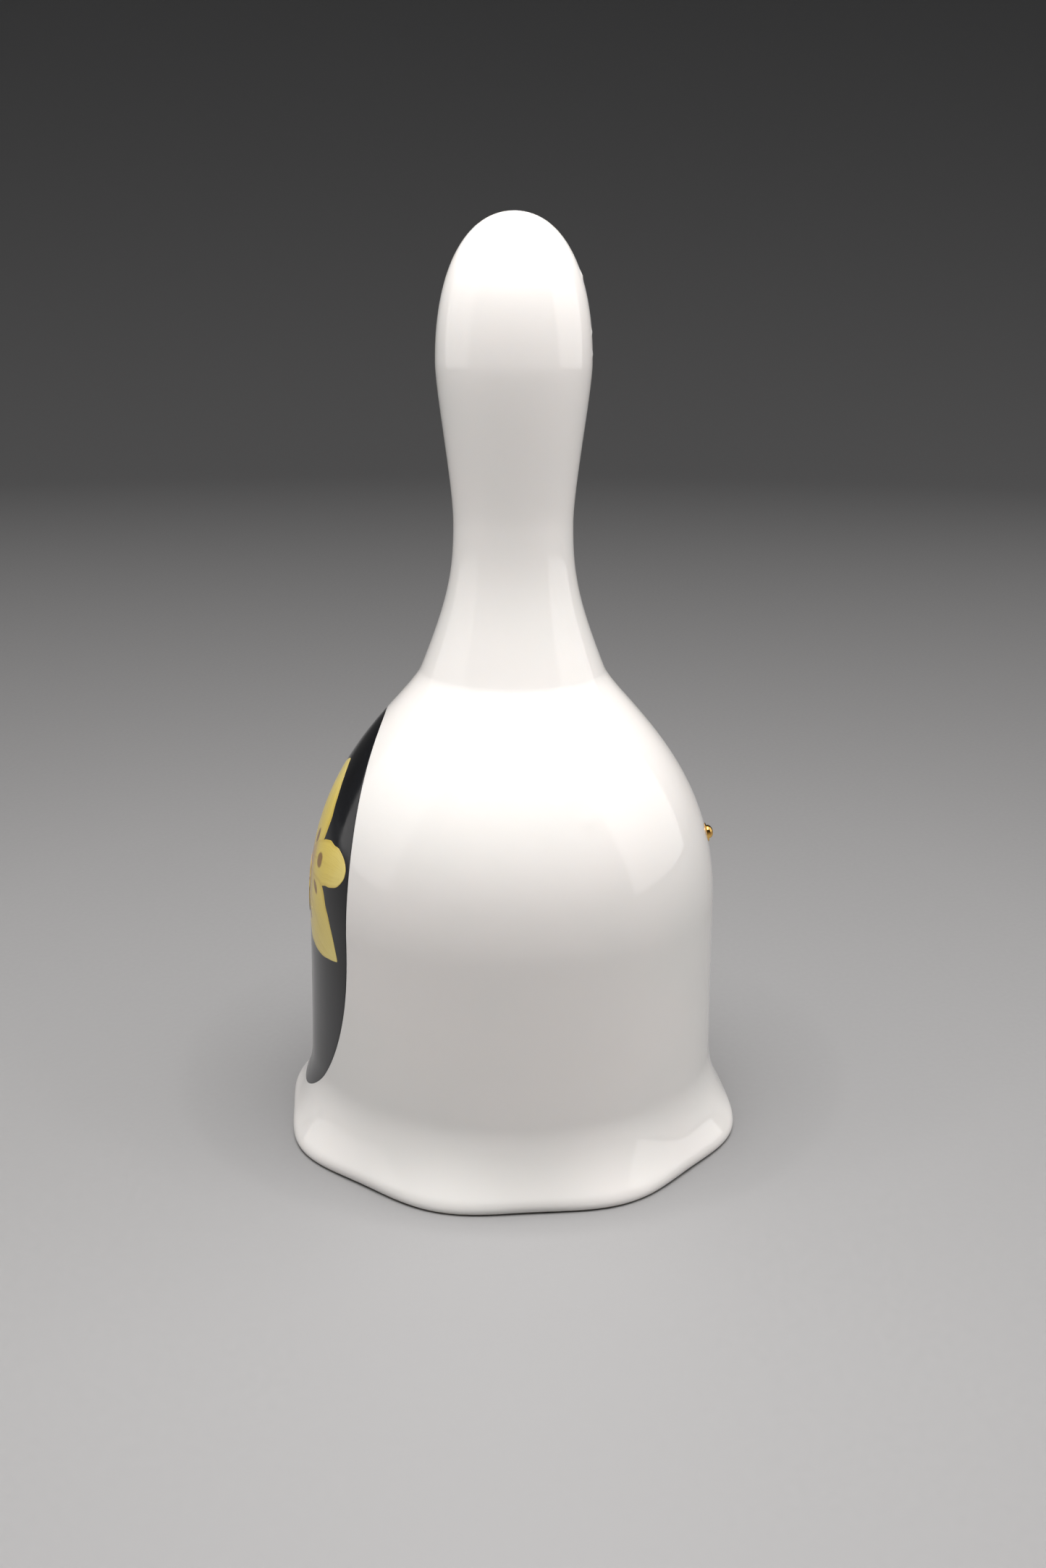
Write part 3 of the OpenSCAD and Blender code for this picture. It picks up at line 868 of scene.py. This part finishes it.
# A long link in the YZ plane: two half circles joined by straight sides, cut at one side
def makeLink():
    low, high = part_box("hook_link")
    wire = clapper["linkWire"] / 2
    bend = clapper["linkBend"]
    top = high.z / mm - wire - bend
    bottom = low.z / mm + wire + bend
    middle = (top + bottom) / 2
    gap = clapper["linkGap"]
    upper = np.linspace(0, np.pi, 40)
    lower = np.linspace(np.pi, 2 * np.pi, 40)
    firstSide = np.linspace([0, bend, middle + gap], [0, bend, top], 8)
    topBend = np.stack([0 * upper, bend * np.cos(upper), top + bend * np.sin(upper)], -1)
    farSide = np.linspace([0, -bend, top], [0, -bend, bottom], 14)
    lowBend = np.stack([0 * lower, bend * np.cos(lower), bottom + bend * np.sin(lower)], -1)
    lastSide = np.linspace([0, bend, bottom], [0, bend, middle - gap], 8)
    path = np.vstack([firstSide[:-1], topBend[:-1], farSide[:-1], lowBend[:-1], lastSide])
    makePiece("hookLink", [wireShell(path, wire, (1, 0, 0))], brassMaterial("linkBrass"),
              "link", ["hook_link"])


# The rod's eye is a full circle; its tail winds down the shank as a tight helix
def makeRod():
    low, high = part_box("clapper_rod")
    wire = clapper["rodWire"] / 2
    ring = clapper["rodEye"]
    centre = high.z / mm - wire - ring
    sweep = np.linspace(math.radians(-90), math.radians(262), 80)
    circle = np.stack([ring * np.cos(sweep), 0 * sweep, centre + ring * np.sin(sweep)], -1)
    shank = np.linspace([0, 0, low.z / mm + 0.15], [0, 0, centre - ring - 0.45], 24)
    join = bezier([shank[-1], shank[-1] + [0, 0, 0.3], circle[6] - [0.45, 0, 0.1], circle[6]], 8)
    turns = np.linspace(0, clapper["tailTurns"] * 2 * np.pi, 110)
    coil = 2 * wire + clapper["tailSlack"]
    down = turns / (2 * np.pi) * (2 * wire + clapper["tailGap"])
    helix = np.stack([-coil * np.cos(turns), coil * np.sin(turns),
                      centre - ring - clapper["tailDrop"] - down], -1)
    stem = wireShell(np.vstack([shank[:-1], join[:-1], circle[6:]]), wire, (0, 1, 0))
    tail = wireShell(helix, wire, (0, 0, 1))
    makePiece("clapperRod", [stem, tail], brassMaterial("rodBrass"),
              "clapper", ["clapper_rod"])


ball = {
    "slack": 0.06,  # between the wire and the bore
    "mouth": 0.45,  # how much wider than the bore the sphere is cut
    "seam": 0.03,  # the mould line round the middle
}


# A glazed ball on the wire: a sphere with a softened bore from pole to pole
def makeBall():
    turn = roundAngles(96)[None, :]
    low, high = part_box("clapper_ball")
    size = (high.y - low.y) / mm / 2
    middle = (high.z + low.z) / mm / 2
    bore = clapper["rodWire"] / 2 + ball["slack"]
    start = math.asin((bore + ball["mouth"]) / size)
    polar = np.linspace(start, np.pi - start, 60)[:, None]
    seam = ball["seam"] * np.exp(-((polar - np.pi / 2) / 0.02)**2)
    sphere = turned((size + seam) * np.sin(polar), turn, middle + size * np.cos(polar))
    rim = size * math.cos(start)
    mouth = np.array([[bore + 0.3, 0.03], [bore + 0.08, 0.0], [bore, -0.2]])
    topMouth = turned(mouth[::-1, :1], turn, middle + rim + mouth[::-1, 1:])
    lowMouth = turned(mouth[:, :1], turn, middle - rim - mouth[:, 1:])
    rings = np.concatenate([topMouth, sphere, lowMouth])
    makePiece("clapperBall", [ringShell(rings, wrap=True)],
              porcelainMaterial("ballPorcelain", speckShare=0.03),
              "ball", ["clapper_ball"])


stop = {
    "slack": 0.01,
    "bite": 0.3,  # depth of the pinch
    "biteHeight": 1.15,
    "biteReach": 0.5,
}


# A soft tube pinched flat on two sides: the radius dips where the jaws bit, as a bell curve
# of the height. Its profile is radius and height.
def makeStop():
    turn = roundAngles(64)[None, :]
    low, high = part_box("ball_stop")
    size = (high.x - low.x) / mm / 2
    base, top = low.z / mm, high.z / mm
    bore = clapper["rodWire"] / 2 + stop["slack"]
    profile = np.array([[bore, 0.0], [0.95, 0.0], [1.25, 0.1], [1.44, 0.35], [size, 0.7],
                        [size, 1.2], [size, 1.7], [1.42, 1.98], [1.2, 2.18], [bore, 2.2]])
    stations = np.linspace(0, 9, 37)
    height = np.interp(stations, np.arange(10), profile[:, 1])[:, None]
    radius = np.interp(stations, np.arange(10), profile[:, 0])[:, None]
    height = base + height * (top - base) / profile[-1, 1]
    near = np.exp(-((height - base - stop["biteHeight"]) / stop["biteReach"])**2)
    bite = stop["bite"] * np.abs(np.cos(turn))**6 * near
    rings = turned(np.maximum(radius - bite * (radius > 1), bore), turn, height)
    makePiece("ballStop", [ringShell(rings, wrap=True)], brassMaterial("crimpBrass", lines=False),
              "clapper", ["ball_stop"])


makePlug()
makeHangerEye()
makeLink()
makeRod()
makeBall()
makeStop()
print("clapper hung")


studio = {
    "ringHeight": 0.26,  # metres, like the sizes below
    "ringRadius": 0.083,
    "ringForward": 0.065,
    "ringWidth": 0.009,
    "ringCount": 24,
    "ringPower": 0.66,  # watts, all lamps together
    "boxWidth": 0.8,
    "boxes": [  # name, place, the point it looks at, watts
        ("overheadSoft", (0.08, 0, 0.7), (0, 0, 0.06), 4.6),
        ("sideLeft", (-0.05, -0.75, 0.4), (0, 0, 0.07), 1.6),
        ("sideRight", (-0.05, 0.75, 0.4), (0, 0, 0.07), 2.3),
    ],
    "world": 0.05,
    "worldColour": colour(0.9, 0.93, 0.96),
    "warm": (1.0, 0.975, 0.955),
    "floorColour": colour(0.30, 0.30, 0.305),
    "floorGrain": colour(0.36, 0.36, 0.36),
    "floorThickness": 0.02,
    "flatTo": 0.9,  # metres
    "riseTo": 2.6,
    "riseHeight": 1.5,
}


# Pale matt card: an even tone with a faint paper grain
def floorMaterial():
    material, tree, shader = newMaterial("studioCard")
    place = objectPlace(tree)
    grain = noiseNode(tree, place, 900.0, 4.0)
    base = mixColour(tree, rampNode(tree, grain, 0.3, 0.7, 0.0, 0.06), studio["floorColour"],
                     studio["floorGrain"])
    tree.links.new(base, shader.inputs["Base Color"])
    tree.links.new(rampNode(tree, grain, 0.3, 0.7, 0.5, 0.6), shader.inputs["Roughness"])
    return material


# The floor is a wide dish: flat under the bell, then eased upwards all round
def makeFloor():
    turn = roundAngles(96)[None, :]
    radius = np.concatenate([[0.02, 0.2, 0.5],
                             np.linspace(studio["flatTo"], studio["riseTo"], 40)])[:, None]
    share = (radius - studio["flatTo"]) / (studio["riseTo"] - studio["flatTo"])
    rings = turned(radius, turn, studio["riseHeight"] * smoothStep(share / 2) * 2)
    thick = studio["floorThickness"]
    under = turned(radius[::-1], turn, rings[::-1, :, 2] - thick)
    poles = np.array([[0, 0, 0], [0, 0, -thick]])
    shell = ringShell(np.concatenate([rings, under]) / mm, poles / mm)
    floor = makePiece("floor", [shell], floorMaterial(), None, [])


# An area light that looks at a point
def makeLight(name, place, target, width, height, power):
    lamp = bpy.data.lights.new(name, "AREA")
    lamp.shape = "RECTANGLE"
    lamp.size = width
    lamp.size_y = height
    lamp.energy = power
    lamp.color = studio["warm"]
    holder = bpy.data.objects.new(name, lamp)
    back = np.array(place, float) - np.array(target, float)
    back /= np.linalg.norm(back)
    right = np.cross([0, 0, 1], back)
    right = right / np.linalg.norm(right) if np.linalg.norm(right) > 1e-6 else np.array([1.0, 0, 0])
    axes = np.eye(4)
    axes[:3, 0], axes[:3, 1], axes[:3, 2], axes[:3, 3] = right, np.cross(back, right), back, place
    holder.matrix_world = Matrix(axes.tolist())
    bpy.context.scene.collection.objects.link(holder)
    return holder


# A ring lamp hangs over the bell, a little towards the viewer; wide soft boxes fill the sides
def makeStudio():
    makeFloor()
    count = studio["ringCount"]
    for i, turn in enumerate(roundAngles(count)):
        place = np.array([studio["ringForward"] + studio["ringRadius"] * math.cos(turn),
                          studio["ringRadius"] * math.sin(turn), studio["ringHeight"]])
        length = 2 * math.pi * studio["ringRadius"] / count
        lamp = makeLight("ring%02d" % i, place, place - [0, 0, 1], length,
                         studio["ringWidth"], studio["ringPower"] / count)
        lamp.rotation_euler = (0, 0, turn + math.pi / 2)  # its length lies along the ring
    for name, place, target, power in studio["boxes"]:
        makeLight(name, place, target, studio["boxWidth"], studio["boxWidth"], power)
    world = bpy.data.worlds.new("studio")
    world.use_nodes = True
    background = world.node_tree.nodes["Background"].inputs
    background["Color"].default_value = studio["worldColour"]
    background["Strength"].default_value = studio["world"]
    bpy.context.scene.world = world
    bpy.context.scene.view_settings.view_transform = "Standard"


makeStudio()
print("studio lit")
